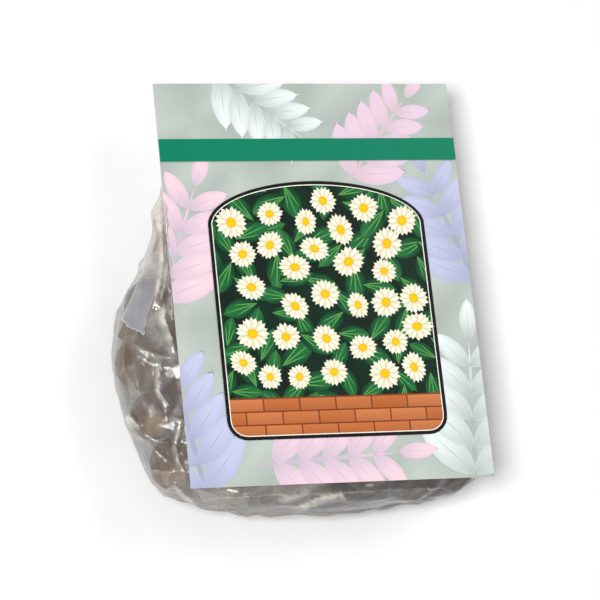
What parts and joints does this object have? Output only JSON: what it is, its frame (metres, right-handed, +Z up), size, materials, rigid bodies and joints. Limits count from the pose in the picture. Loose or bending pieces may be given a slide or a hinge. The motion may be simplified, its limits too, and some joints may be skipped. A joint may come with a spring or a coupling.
{
  "type": "retail bag of flower bulbs with a printed card",
  "caption": "Clear film bag filled with loose brown flower bulbs, with a printed rectangular card on its front, lying on its back.",
  "frame": {"origin": "middle of the box of the whole bag, on the surface it lies on", "axes": "+X to the card's right, +Y towards the card's head, +Z up through the card"},
  "size_m": [0.2554, 0.2934, 0.0628],
  "materials": {
    "card": "glossy printed board",
    "film": "clear crinkled polyethylene film",
    "bulb": "dry papery brown skin"
  },
  "bodies": {
    "root": {"card": "card", "bag": "film", "bulb_01": "bulb", "bulb_02": "bulb", "bulb_03": "bulb", "bulb_04": "bulb", "bulb_05": "bulb", "bulb_06": "bulb", "bulb_07": "bulb", "bulb_08": "bulb", "bulb_09": "bulb", "bulb_10": "bulb", "bulb_11": "bulb", "bulb_12": "bulb", "bulb_13": "bulb", "bulb_14": "bulb", "bulb_15": "bulb", "bulb_16": "bulb", "bulb_17": "bulb", "bulb_18": "bulb", "bulb_19": "bulb", "bulb_20": "bulb", "bulb_21": "bulb", "bulb_22": "bulb", "bulb_23": "bulb", "bulb_24": "bulb", "bulb_25": "bulb", "bulb_26": "bulb", "bulb_27": "bulb", "bulb_28": "bulb", "bulb_29": "bulb", "bulb_30": "bulb", "bulb_31": "bulb", "bulb_32": "bulb", "bulb_33": "bulb", "bulb_34": "bulb", "bulb_35": "bulb", "bulb_36": "bulb", "bulb_37": "bulb", "bulb_38": "bulb", "bulb_39": "bulb", "bulb_40": "bulb"}
  },
  "joints": []
}
